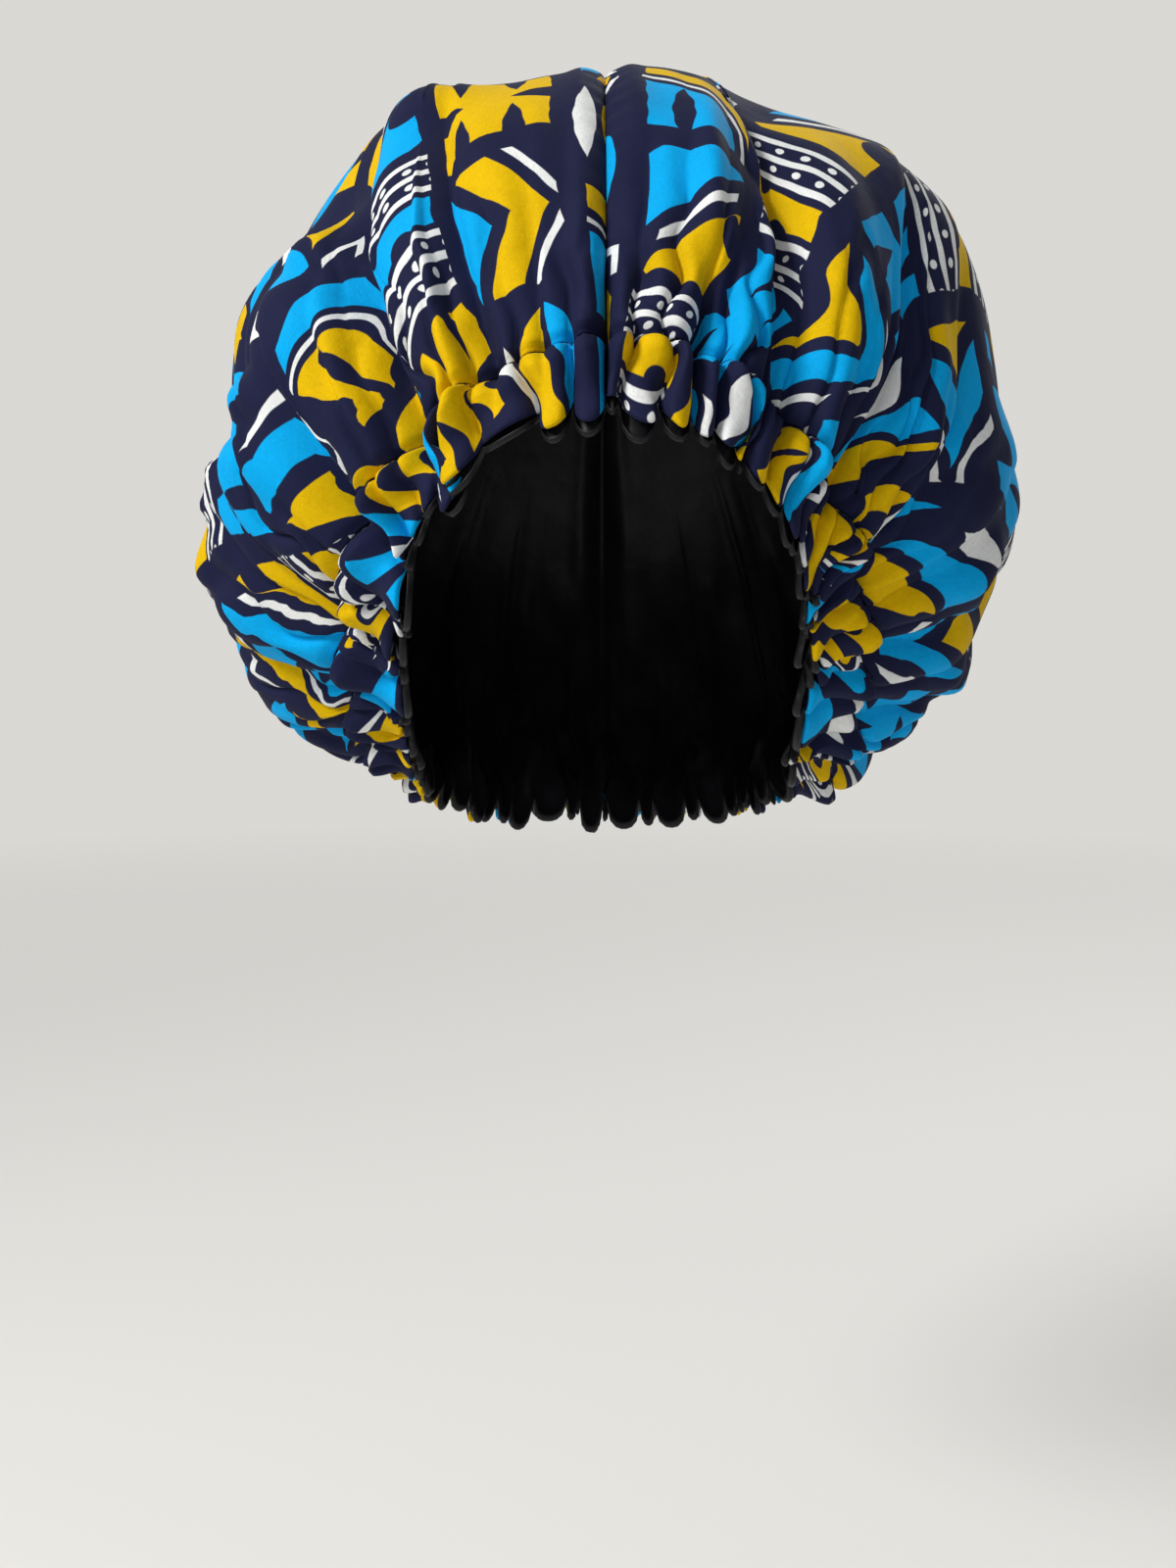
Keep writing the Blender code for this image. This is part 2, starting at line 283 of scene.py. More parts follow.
# The print, in mm on the flat cloth: columns of cells on a navy ground, each cell with one of six motifs.
COLUMN_PITCH = 55.0
CELL_PITCH = 68.0
COLUMN_DROP = 23.0
HALF_WIDTH = 23.0
HALF_HEIGHT = 29.5
COLUMN_STEP = 2.0
ROW_STEP = 5.0
MOTIF_COUNT = 6.0
PRINT_OFFSET = {-1: np.array([0.017, 0.011]), 1: np.array([0.044, 0.036])}
PRINT_EDGE = 0.35
PRINT_WOBBLE = 2.0
PRINT_WOBBLE_SCALE = 0.055
INK_GAPS = (0.1, 1.15, 1.15)
OUT_OF_PRINT = 500.0
NAVY = (0.0110, 0.0130, 0.0430)
BLUE = (0.0006, 0.3450, 0.7300)
YELLOW = (0.6600, 0.4150, 0.0006)
WHITE = (0.7200, 0.7350, 0.7300)

# How the shaders of the materials are set.
COTTON = {"Specular IOR Level": 0.07, "Sheen Weight": 0.012, "Sheen Roughness": 0.45}
SATIN = {"Specular IOR Level": 0.2, "Sheen Weight": 0.02, "Sheen Roughness": 0.3}
THREAD = {"Base Color": (0.0160, 0.0180, 0.0420, 1.0), "Roughness": 0.7}
SATIN_DARK = (0.0038, 0.0040, 0.0052)
SATIN_LIGHT = (0.0080, 0.0082, 0.0104)
# The weave's noise, squeezed across its threads and drawn out along them.
THREADS_ACROSS = 2.6
THREADS_ALONG = 0.30
NOISE_SPAN = (0.3, 0.7)

CAMERA_PLACE = Vector((-0.006, -0.913, 0.0875))
CAMERA_DROP = math.radians(8.1)
CAMERA_LENS = 57.96

Lamp = namedtuple("Lamp", "name place size power colour")
LAMPS = (
    Lamp("window", (-1.35, -1.0, 1.3), 0.8, 42.0, (1.0, 0.99, 0.965)),
    Lamp("front_fill", (-0.3, -1.9, 0.2), 1.4, 5.5, (0.97, 0.98, 1.0)),
    Lamp("back_rim", (0.9, 1.5, 1.1), 1.2, 14.0, (1.0, 1.0, 1.0)),
)

# The room is lighter behind the bonnet than in front of it, by how far a direction points backwards.
ROOM_COLOUR = (0.27, 0.27, 0.275)
BACKDROP_COLOUR = (0.70, 0.69, 0.66)
BACKDROP_FROM = -0.1
BACKDROP_FULL = 0.7
FLOOR = {"Base Color": (0.74, 0.73, 0.71, 1.0), "Roughness": 0.8}
FLOOR_RADIUS = 8.0
FLOOR_SIDES = 96
FLOOR_HEIGHT = -0.42
FLOOR_CLEAR = 0.9
FLOOR_GONE = 2.3

# The flat cut that each piece of cloth comes from. The casing's cut takes in the edge that turns under.
Cut = namedtuple("Cut", "node width length area")
PANEL_RADIUS = STITCH_LINE * FLAT_RADIUS
BAND_WIDTH = (1 - STITCH_LINE) * FLAT_RADIUS + math.pi * CURL_RADIUS
BAND_LENGTH = math.pi * (FLAT_RADIUS + PANEL_RADIUS) / 2
HALF_DISC = (2 * PANEL_RADIUS, PANEL_RADIUS, math.pi * PANEL_RADIUS**2 / 2)
BAND = (BAND_LENGTH, BAND_WIDTH, BAND_LENGTH * BAND_WIDTH)
CUTS = {
    "left_panel_cloth": Cut("left_panel", *HALF_DISC),
    "right_panel_cloth": Cut("right_panel", *HALF_DISC),
    "casing_left": Cut("elastic_casing", *BAND),
    "casing_right": Cut("elastic_casing", *BAND),
    "satin_lining_cloth": Cut("satin_lining", 2 * FLAT_RADIUS, 2 * FLAT_RADIUS, math.pi * FLAT_RADIUS**2),
}


def unit(vectors):
    return vectors / np.linalg.norm(vectors, axis=-1, keepdims=True)


def ease(value, start, end):
    """0 before start, 1 after end, and a smooth step between them."""
    share = np.clip((value - start) / (end - start), 0.0, 1.0)
    return share * share * (3.0 - 2.0 * share)


def hump(value, width):
    """1 at zero, falling off smoothly to both sides."""
    return np.exp(-((value / width) ** 2))


def wrapped(degrees):
    return (degrees + 180.0) % 360.0 - 180.0


def from_seam(degrees):
    """How far a column is from the nearer one of the front and nape seams, in degrees."""
    return np.minimum(np.abs(degrees), 180 - np.abs(degrees))


def lip_point(angle, way):
    """The lip at an angle in radians: a wide loop that dips at the ears. Its arch fades out above it."""
    x = LIP_HALF_WIDTH * (np.sin(angle) + LIP_SQUARENESS * np.sin(3 * angle))
    y = -LIP_HALF_DEPTH * np.cos(angle)
    arch = hump(wrapped(np.degrees(angle) - LIP_ARCH_AT), LIP_ARCH_SPREAD)
    arch = arch * ease(way, ARCH_START, STITCH_LINE)
    z = LIP_HALF_RISE * np.cos(angle) + LIP_SADDLE * np.cos(2 * angle) + LIP_ARCH * arch
    return np.stack([x, y, z], -1)


def puff_radius(direction):
    """Distance from the puff's centre to its rounded surface."""
    depth = np.where(direction[..., 1] < 0, PUFF_FRONT, PUFF_BACK)
    rise = np.where(direction[..., 2] < 0, PUFF_DOWN, PUFF_UP)
    sizes = np.stack([np.full(depth.shape, PUFF_HALF_WIDTH), depth, rise], -1)
    return (np.abs(direction / sizes) ** PUFF_FULLNESS).sum(-1) ** (-1 / PUFF_FULLNESS)


def body_point(degrees, way, lift):
    """A point of the bonnet, lifted from its smooth body, which is drawn in to the head near the lip."""
    crown = unit(CROWN_TILT)
    to_lip = lip_point(np.radians(degrees), way) - PUFF_CENTRE
    lip_radius = np.linalg.norm(to_lip, axis=-1)
    to_lip = to_lip / lip_radius[..., None]
    along_crown = (to_lip * crown).sum(-1)
    across = unit(to_lip - along_crown[..., None] * crown)
    turn = way * np.arccos(along_crown)
    direction = np.cos(turn)[..., None] * crown + np.sin(turn)[..., None] * across
    drawn_in = ease(way, PINCH_START, 1.0)
    radius = puff_radius(direction) * (1 - drawn_in) + lip_radius * drawn_in
    return PUFF_CENTRE + direction * (radius + lift)[..., None]


def crease_shape(degrees, way):
    """The relief of the creases in metres, and a weight that is high in their valleys."""
    relief = np.zeros(np.broadcast(degrees, way).shape)
    weight = np.zeros_like(relief)
    for crease in CREASES:
        run = np.clip((way - crease.reach) / (STITCH_LINE - crease.reach), 0.0, 1.0)
        line = crease.foot + (1 - run) * wrapped(crease.top - crease.foot)
        aside = wrapped(degrees - line)
        off = np.abs(aside) / (crease.width * (1.0 + CREASE_SPREAD * (1 - run)))
        valley = np.exp(-(off**CREASE_SHARPNESS))
        shoulder = SHOULDER_SHARE * np.exp(-((off - SHOULDER_AT) ** 2))
        deepened = ease(way, crease.reach, crease.reach + CREASE_DEEPENS_OVER)
        relief -= crease.depth * MM * deepened * (valley - shoulder)
        tucked = ease(way, crease.reach - TUCK_REACH, crease.reach + CREASE_DEEPENS_OVER)
        relief -= crease.depth * MM * tucked * tuck_shape(crease, aside / (crease.width * TUCK_WIDTH))
        weight += crease.depth * tucked * hump(off, CREASE_CORE)
    return relief, weight


def tuck_shape(crease, beside):
    """The sharp line of a crease, and the step of cloth over it. The two seams have the line alone."""
    is_fold = 0.0 < abs(crease.foot) < 180.0
    step = TUCK_SHARE * math.copysign(1.0, crease.foot) * is_fold * np.tanh(beside / TUCK_EDGE)
    return step * np.exp(-(beside**2)) + LINE_SHARE * np.exp(-np.abs(beside / LINE_WIDTH))


def swell_relief(degrees, way):
    relief = np.zeros(np.broadcast(degrees, way).shape)
    for swell in SWELLS:
        across = wrapped(degrees - swell.angle) / swell.spread
        along = (way - swell.way) / swell.length
        relief += swell.height * MM * np.exp(-(across**2) - along**2)
    return relief


def small_folds(side):
    """Small slanting folds above the casing, which FOLDS has no rows for."""
    random = np.random.default_rng(SEEDS[side] + SMALL_FOLD_SEED)
    folds = []
    for degrees in np.arange(*SMALL_FOLD_ANGLES, SMALL_FOLD_PITCH):
        foot = degrees + random.uniform(*SMALL_FOLD_SHIFT)
        top = foot + random.uniform(*SMALL_FOLD_LEAN)
        high = random.uniform(*SMALL_FOLD_TOP)
        low = min(high + random.uniform(*SMALL_FOLD_FALL), SMALL_FOLD_LOWEST)
        depth = random.uniform(*SMALL_FOLD_DEPTH)
        width = random.uniform(*SMALL_FOLD_WIDTH)
        folds.append(Fold(side * top, high, side * foot, low, depth, width, depth * SMALL_FOLD_LIP))
    return folds


def fold_relief(degrees, way, folds):
    """Short folds: a groove along a line, with the cloth on its crown side standing over it."""
    relief = np.zeros(np.broadcast(degrees, way).shape)
    for fold in folds:
        across = wrapped(fold.to_deg - fold.from_deg) * DEGREE
        along = (fold.to_way - fold.from_way) * MERIDIAN
        length = math.hypot(across, along)
        x = wrapped(degrees - fold.from_deg) * DEGREE
        y = (way - fold.from_way) * MERIDIAN
        run = (x * across + y * along) / length**2
        beside = math.copysign(1.0, across) * (x * along - y * across) / length / (fold.width * MM)
        ends = ease(run, *FOLD_BEGINS) * (1 - ease(run, *FOLD_ENDS))
        groove = np.exp(-np.abs(beside) ** FOLD_SHARPNESS)
        stand = np.exp(-((beside - FOLD_STAND_AT) ** 2))
        relief += ends * MM * (fold.lip * stand - fold.depth * groove)
    return relief


def waves(degrees, way, ripple):
    """Smooth random relief in metres: sine waves with whole numbers of turns round the opening."""
    random = np.random.default_rng(ripple.seed)
    total = np.zeros(np.broadcast(degrees, way).shape)
    for _ in range(ripple.count):
        turns = random.integers(ripple.turns[0], ripple.turns[1] + 1)
        rise = random.uniform(*ripple.rise) * random.choice([-1.0, 1.0])
        phase = random.uniform(0, 2 * math.pi)
        total += np.sin(turns * np.radians(degrees) + rise * way + phase)
    return ripple.height * MM * total / math.sqrt(ripple.count)


def worn_relief(degrees, way, side):
    """Creases, swells, folds and small waves of the body, fading out from the stitch line to the lip."""
    creases, _ = crease_shape(degrees, way)
    folds = fold_relief(degrees, way, [*FOLDS, *small_folds(side)])
    broad = waves(degrees, way, BROAD_WAVES) * ease(way, *BROAD_WAVES.grows)
    fine = waves(degrees, way, FINE_WAVES) * ease(way, *FINE_WAVES.grows)
    pucker = waves(degrees, way, SEAM_PUCKER) * ease(way, *SEAM_PUCKER.grows)
    beyond_seam = 1 - hump(from_seam(degrees), SEAM_CALM_WIDTH)
    at_seam = hump(from_seam(degrees), PUCKER_WIDTH)
    relief = creases + swell_relief(degrees, way) + (folds + broad + fine) * beyond_seam + pucker * at_seam
    return relief * (1 - ease(way, STITCH_LINE, 1.0))


class Gathers:
    """The gathers of one side: their edges round the opening, and how each one differs."""

    def __init__(self, side, columns_each):
        random = np.random.default_rng(SEEDS[side])
        front = np.exp(-((np.arange(GATHERS_PER_SIDE) / FRONT_GATHERS) ** 2))
        widths = np.exp(random.normal(0.0, WIDTH_SPREAD, GATHERS_PER_SIDE)) * (1 + FRONT_WIDENING * front)
        widths = np.clip(widths, *WIDTH_LIMITS)
        self.side = side
        self.edges = 180.0 * np.concatenate([[0.0], np.cumsum(widths)]) / widths.sum()
        self.height = np.clip(widths, *HEIGHT_LIMITS) * random.uniform(*HEIGHT_CHANCE, GATHERS_PER_SIDE)
        self.reach = random.choice(REACHES, GATHERS_PER_SIDE)
        self.lip_wave = random.uniform(-1.0, 1.0, GATHERS_PER_SIDE)
        self.bulge_at = random.uniform(*BULGE_PLACES, GATHERS_PER_SIDE)
        self.flare = random.uniform(0.0, 1.0, GATHERS_PER_SIDE)
        self.tip = random.uniform(*TIP_CHANCE, GATHERS_PER_SIDE)
        self.valley = random.uniform(*VALLEY_DEPTHS, GATHERS_PER_SIDE + 1)
        self.lean = random.normal(0.0, LEAN, GATHERS_PER_SIDE + 1)
        self.wander = random.normal(0.0, WANDER, GATHERS_PER_SIDE + 1)
        self.phase = random.uniform(0.0, 2 * math.pi, GATHERS_PER_SIDE + 1)
        for ends in (self.lean, self.wander):
            ends[0] = ends[-1] = 0.0
        self.place_columns(columns_each)

    def place_columns(self, columns_each):
        """Shares out the columns: each column's place in gathers, the gather that it is in, and its angle."""
        places, owners = [], []
        for index, width in enumerate(np.diff(self.edges)):
            relative = width * GATHERS_PER_SIDE / 180.0
            count = max(FEWEST_COLUMNS, round(columns_each * (0.5 + 0.5 * relative)))
            places += list(index + np.arange(count) / count)
            owners += [index] * count
        self.place = np.array(places + [float(GATHERS_PER_SIDE)])
        self.owner = np.array(owners + [GATHERS_PER_SIDE - 1])
        self.across = np.clip(self.place - self.owner, 0.0, 1.0)
        self.degrees = self.between_edges(self.edges)

    def between_edges(self, values):
        """Values given at the edges of the gathers, read off at each column."""
        return np.interp(self.place, np.arange(GATHERS_PER_SIDE + 1), values)

    def profile(self):
        """0 in the valleys and 1 on the ridges, as a rounded tube."""
        return np.maximum(0.0, 1 - np.abs(2 * self.across - 1) ** GATHER_ROUNDNESS) ** GATHER_FULLNESS

    def soft_profile(self):
        return np.sin(np.pi * self.across) ** 2

    def lip_waves(self, tube):
        """How far the lip dips under each gather, as a part of the way."""
        calmer = 1 - NAPE_CALM * ease(self.degrees, *NAPE_STRETCH)
        dip = tube * (1 + LIP_WAVE_SPREAD * self.lip_wave[self.owner]) - LIP_WAVE_MIDDLE
        return calmer * LIP_WAVE * dip

    def valley_floor(self):
        near_edge = hump(np.minimum(self.across, 1 - self.across), VALLEY_WIDTH)
        return -MM * near_edge * self.between_edges(self.valley)

    def wandering(self, way):
        """How far the columns stray sideways on their way down, by the waves of the two edges beside them."""
        before, after = self.owner, self.owner + 1
        first = self.wander[before] * np.sin(WANDER_TURNS * way + self.phase[before])
        second = self.wander[after] * np.sin(WANDER_TURNS * way + self.phase[after])
        stray = (1 - self.across) * first + self.across * second
        return stray * ease(way, WANDER_START, STITCH_LINE)

    def angles(self, way):
        """Signed angles of the columns at each way. The gathers lean, and follow the creases upwards."""
        inner = [crease for crease in CREASES if 0 < crease.foot * self.side < 180]
        feet = sorted((abs(crease.foot), wrapped(crease.top - crease.foot) * self.side) for crease in inner)
        feet = [(0.0, 0.0), *feet, (180.0, 0.0)]
        drift = np.interp(self.degrees, [foot for foot, _ in feet], [shift for _, shift in feet])
        up = 1 - np.clip((way - DRIFT_START) / (STITCH_LINE - DRIFT_START), 0.0, 1.0)
        down = np.clip((way - STITCH_LINE) / (1.0 - STITCH_LINE), 0.0, 1.0)
        leaning = self.between_edges(self.lean) * (down - up * LEAN_BACK)
        return self.side * (self.degrees + drift * up + leaning + self.wandering(way))


def gathered(gathers, way):
    """How strongly each column's gather shows at each way, 0 to 1. Long gathers reach further up."""
    reach = gathers.reach[gathers.owner]
    share = np.clip((way - reach) / (STITCH_LINE - reach), 0.0, 1.0)
    return share**REACH_POWER


def panel_surface(gathers, ways):
    """The outer face of a panel, from the crown to the stitch line, where it tucks in under the casing."""
    way = ways[:, None]
    degrees = gathers.angles(way)
    show = gathered(gathers, way)
    tube = gathers.profile() * show + gathers.soft_profile() * (1 - show)
    depth = GATHER_DEPTH * PANEL_GATHER_SHARE * show * gathers.height[gathers.owner]
    tuck = PANEL_TUCK * ease(way, STITCH_LINE - PANEL_TUCK_LENGTH, STITCH_LINE)
    lift = worn_relief(degrees, way, gathers.side) + depth * tube + gathers.valley_floor() * show - tuck
    return body_point(degrees, way, lift)


def casing_surface(gathers, steps):
    """The outer face of the casing. Steps go from 0 at the stitch line to 1 at the lip, then it turns in."""
    step = steps[:, None]
    at = [row.at for row in CASING_STEPS]
    turned = np.clip(step - 1.0, 0.0, 1.0) * math.pi
    down = np.minimum(step, 1.0)
    swell = np.interp(down, at, [row.swell for row in CASING_STEPS]) * MM
    ridge = np.interp(down, at, [row.ridge for row in CASING_STEPS])
    tube = gathers.profile()
    wave = gathers.lip_waves(tube) * ease(down, LIP_WAVE_START, 1.0)
    way = CASING_START + (1 - CASING_START) * down + wave + CURL_RADIUS * np.sin(turned) / MERIDIAN
    degrees = gathers.angles(way)
    crumple = waves(degrees, way, CASING_CRUMPLE) * ease(down, *CASING_CRUMPLE.grows)
    bulge = BULGE * hump(down - gathers.bulge_at[gathers.owner], BULGE_LENGTH)
    flare = FLARE * gathers.flare[gathers.owner] * ease(down, FLARE_START, 1.0)
    tip = 1 + gathers.tip[gathers.owner] * (2 * gathers.across - 1) * ease(down, *TIP_GROWS)
    lift = GATHER_DEPTH * ridge * gathers.height[gathers.owner] * tube + gathers.valley_floor() * ridge
    lift = lift * tip + swell + (crumple + bulge + flare) * tube - CURL_RADIUS * (1 - np.cos(turned))
    return body_point(degrees, way, lift + worn_relief(degrees, np.minimum(way, 1.0), gathers.side))


def lining_surface(gathers, ways, edge):
    """The satin, at a drop inside the panels and the casing, then rolled out past the casing at its edge."""
    way = ways[:, None]
    roll = edge[:, None] * math.pi
    worn_way = np.minimum(way, 1.0)
    degrees = gathers.angles(worn_way)
    rolled = ease(way, LINING_ROLL_START, 1.0)
    inside = 1 - rolled
    show = gathered(gathers, worn_way)
    tube = gathers.profile() * rolled + gathers.soft_profile() * inside
    depth = GATHER_DEPTH * gathers.height[gathers.owner]
    depth = depth * (LINING_GATHER_SHARE * show * inside + LINING_EDGE_SHARE * rolled)
    drop = LINING_DROP * inside + LINING_EDGE_DROP * rolled
    lift = depth * tube + gathers.valley_floor() * rolled - drop + LINING_ROLL * (1 - np.cos(roll))
    crumple = waves(degrees, way, LINING_CRUMPLE) * ease(way, *LINING_CRUMPLE.grows) * inside
    pleats = LINING_PLEAT * show * inside * (1 - gathers.soft_profile()) ** 2
    relief = worn_relief(degrees, worn_way, gathers.side) + crumple - pleats
    reach = LINING_LEAST_REACH + LINING_REACH_SPREAD * gathers.flare[gathers.owner] ** 2 * tube
    past = (LINING_REACH * reach + gathers.lip_waves(tube)) * rolled
    return body_point(degrees, way + past + LINING_ROLL * np.sin(roll) / MERIDIAN, lift + relief)


def flat_places(points, gathers, ways):
    """Where each point lies on the flat half disc, in metres, with spare cloth mostly in the valleys."""
    along = np.linalg.norm(np.diff(points, axis=0), axis=-1).mean(1)
    radius = np.concatenate([[0.0], np.cumsum(along)])
    radius = (radius * FLAT_RADIUS / radius[-1])[:, None]
    between = np.linalg.norm(np.diff(points, axis=1), axis=-1)
    middle = (gathers.across[:-1] + 0.5 * np.diff(gathers.place)) % 1.0
    near_valley = hump(np.minimum(middle, 1 - middle), HIDDEN_WIDTH)
    way = np.minimum(ways, 1.0)[:, None]
    _, crease_weight = crease_shape(gathers.angles(way), way)
    weight = near_valley * gathered(gathers, way)[:, :-1] + CREASE_HIDES * crease_weight[:, :-1] + EVEN_SHARE
    weight = weight / weight.sum(1, keepdims=True)
    arc = math.pi * radius
    covered = between.sum(1, keepdims=True)
    spare = np.maximum(arc - covered, 0.0)
    steps = between * np.minimum(1.0, arc / covered) + spare * weight
    turn = np.cumsum(np.concatenate([np.zeros((len(points), 1)), steps], 1), 1)
    turn = math.pi * turn / np.maximum(turn[:, -1:], LEAST_ARC)
    return np.stack([gathers.side * radius * np.sin(turn), -radius * np.cos(turn)], -1)


def turned_in(panel, flat):
    """The panel with its seam allowance: an edge column at each end that turns inwards."""
    inwards = unit(PUFF_CENTRE - panel[:, [0, -1]])
    edges = panel[:, [0, -1]] + SEAM_TURN * inwards
    points = np.concatenate([edges[:, :1], panel, edges[:, 1:]], 1)
    return points, np.concatenate([flat[:, :1], flat, flat[:, -1:]], 1)


def whole_ring(left, right):
    """A whole ring from the surfaces of the two sides, which share their columns at the seams."""
    return np.concatenate([left[:, ::-1], right[:, 1:-1]], 1)


def placed(name, data):
    """A new object in the scene."""
    made = bpy.data.objects.new(name, data)
    bpy.context.scene.collection.objects.link(made)
    return made


def piece_from(name, mesh, material):
    mesh.shade_smooth()
    mesh.materials.append(material)
    return placed(name, mesh)


def sheet_mesh(name, points, flat, wall, material, closed=False):
    """A sheet of cloth from a grid of points, its faces outwards and its wall inwards."""
    rows, columns = points.shape[:2]
    index = np.arange(rows * columns).reshape(rows, columns)
    right = np.roll(index, -1, 1) if closed else index[:, 1:]
    left = index if closed else index[:, :-1]
    faces = np.stack([left[:-1], left[1:], right[1:], right[:-1]], -1).reshape(-1, 4)
    mesh = bpy.data.meshes.new(name)
    mesh.from_pydata(points.reshape(-1, 3).tolist(), [], faces.tolist())
    normals = np.zeros(len(mesh.polygons) * 3)
    mesh.polygons.foreach_get("normal", normals)
    centres = np.zeros(len(mesh.polygons) * 3)
    mesh.polygons.foreach_get("center", centres)
    outwards = (normals.reshape(-1, 3) * (centres.reshape(-1, 3) - PUFF_CENTRE)).sum()
    if outwards < 0:
        mesh.flip_normals()
    if flat is not None:
        layer = mesh.uv_layers.new(name="flat_cloth")
        corners = np.zeros(len(mesh.loops), int)
        mesh.loops.foreach_get("vertex_index", corners)
        layer.data.foreach_set("uv", flat.reshape(-1, 2)[corners].astype(np.float32).ravel())
    piece = piece_from(name, mesh, material)
    weld = piece.modifiers.new("weld", "WELD")
    weld.merge_threshold = WELD
    thick = piece.modifiers.new("wall", "SOLIDIFY")
    thick.thickness = wall
    thick.offset = -1.0
    return piece


class Sums:
    """Arithmetic on sockets of one node tree, so that a printed motif reads as a formula. Lengths are in mm.

    A shape is a distance that is below zero inside it.
    """

    def __init__(self, tree):
        self.tree = tree

    def node(self, kind, operation, values, output=0):
        made = self.tree.nodes.new(kind)
        made.operation = operation
        for socket, value in zip(made.inputs, values):
            if isinstance(value, bpy.types.NodeSocket):
                self.tree.links.new(value, socket)
            else:
                socket.default_value = value
        return made.outputs[output]

    def math(self, operation, *values):
        return self.node("ShaderNodeMath", operation, values)

    def vector(self, operation, *values):
        return self.node("ShaderNodeVectorMath", operation, values)

    def measure(self, operation, *vectors):
        """A number from vectors, such as a length."""
        return self.node("ShaderNodeVectorMath", operation, vectors, output=1)

    def parts(self, vector):
        """The vector's x and y."""
        split = self.tree.nodes.new("ShaderNodeSeparateXYZ")
        self.tree.links.new(vector, split.inputs[0])
        return split.outputs[0], split.outputs[1]

    def joined(self, x, y):
        made = self.tree.nodes.new("ShaderNodeCombineXYZ")
        self.tree.links.new(x, made.inputs[0])
        self.tree.links.new(y, made.inputs[1])
        return made.outputs[0]

    def both(self, *shapes):
        """Where all of the shapes are."""
        met = shapes[0]
        for shape in shapes[1:]:
            met = self.math("MAXIMUM", met, shape)
        return met

    def either(self, *shapes):
        joined = shapes[0]
        for shape in shapes[1:]:
            joined = self.math("MINIMUM", joined, shape)
        return joined

    def less(self, shape, *bites):
        """The shape without the bites."""
        for bite in bites:
            shape = self.math("MAXIMUM", shape, self.math("MULTIPLY", bite, -1.0))
        return shape

    def disc(self, place, x, y, radius):
        offset = self.vector("SUBTRACT", place, (x, y, 0.0))
        return self.math("SUBTRACT", self.measure("LENGTH", offset), radius)

    def half_plane(self, place, x, y, limit):
        """Where x * px + y * py is under the limit."""
        size = math.hypot(x, y)
        dot = self.measure("DOT_PRODUCT", place, (x / size, y / size, 0.0))
        return self.math("SUBTRACT", dot, limit / size)

    def box(self, place, x, y, half_width, half_height):
        offset = self.vector("ABSOLUTE", self.vector("SUBTRACT", place, (x, y, 0.0)))
        over = self.vector("SUBTRACT", offset, (half_width, half_height, 0.0))
        return self.math("MAXIMUM", *self.parts(over))

    def cell(self, place, half_width=HALF_WIDTH, half_height=HALF_HEIGHT):
        """The whole cell, or a smaller box in its middle."""
        return self.box(place, 0.0, 0.0, half_width, half_height)

    def leaf(self, place, x, y, half_length, half_width, upright=True):
        """A pointed leaf, where two discs meet."""
        radius = (half_length**2 + half_width**2) / (2 * half_width)
        off = radius - half_width
        across, up = (off, 0.0) if upright else (0.0, off)
        discs = [self.disc(place, x + side * across, y + side * up, radius) for side in SIDES]
        return self.both(*discs)

    def ring(self, place, x, y, radius, half_line):
        return self.math("SUBTRACT", self.math("ABSOLUTE", self.disc(place, x, y, radius)), half_line)


def bars_and_dots(s, p, x, y):
    """White bars with dots between them, and a block across the middle with round bites out of it."""
    half_pitch, first_bar, half_bar, dot_radius = 4.8, 11.4, 1.6, 1.7
    to_bar = s.math("PINGPONG", s.math("SUBTRACT", s.math("ABSOLUTE", y), first_bar), half_pitch)
    bars = s.math("SUBTRACT", to_bar, half_bar)
    to_column = s.math("PINGPONG", s.math("ADD", x, half_pitch), half_pitch)
    between = s.math("SUBTRACT", half_pitch, to_bar)
    squares = s.math("ADD", s.math("MULTIPLY", to_column, to_column), s.math("MULTIPLY", between, between))
    dots = s.math("SUBTRACT", s.math("SQRT", squares), dot_radius)
    field = s.cell(p, half_height=32.6)
    middle = s.cell(p, half_width=25.0, half_height=9.4)
    block = s.cell(p, half_height=8.0)
    block = s.less(block, s.disc(p, x=5.0, y=-9.0, radius=5.2), s.disc(p, x=-9.0, y=9.5, radius=5.2))
    return s.less(s.both(field, s.either(bars, dots)), middle), block, None


def bitten_block(s, folded, p):
    """A block with pointed leaves bitten out of its four sides."""
    sides = s.leaf(folded, x=25.0, y=0.0, half_length=15.0, half_width=5.0, upright=False)
    claws = s.leaf(folded, x=9.5, y=31.0, half_length=19.0, half_width=2.9)
    return None, s.less(s.cell(p), sides, claws), None


def arrows(s, folded, p):
    """A broad arrow across the cell, and the solid point of another one behind it."""
    ahead, behind = (1.0, 0.72), (-1.0, -0.72)
    cell = s.cell(p)
    front = s.half_plane(folded, *ahead, limit=21.0)
    back = s.half_plane(folded, *behind, limit=-3.0)
    point = s.both(cell, s.half_plane(folded, *ahead, limit=-2.5))
    bar_back = s.half_plane(folded, *behind, limit=-25.5)
    bar_front = s.half_plane(folded, *ahead, limit=29.5)
    return s.both(cell, bar_back, bar_front), s.both(cell, front, back), point


def split_leaf(s, p):
    """A leaf in two colours either side of a rib, with a thin white leaf beside it."""
    middle = -4.0
    leaf = s.leaf(p, x=middle, y=0.0, half_length=31.5, half_width=18.5)
    rib = s.leaf(p, x=middle, y=0.0, half_length=34.0, half_width=1.8)
    left = s.less(s.both(leaf, s.half_plane(p, x=1.0, y=0.0, limit=middle)), rib)
    right = s.less(s.both(leaf, s.half_plane(p, x=-1.0, y=0.0, limit=-middle)), rib)
    return s.leaf(p, x=20.5, y=-3.0, half_length=24.0, half_width=4.2), left, right


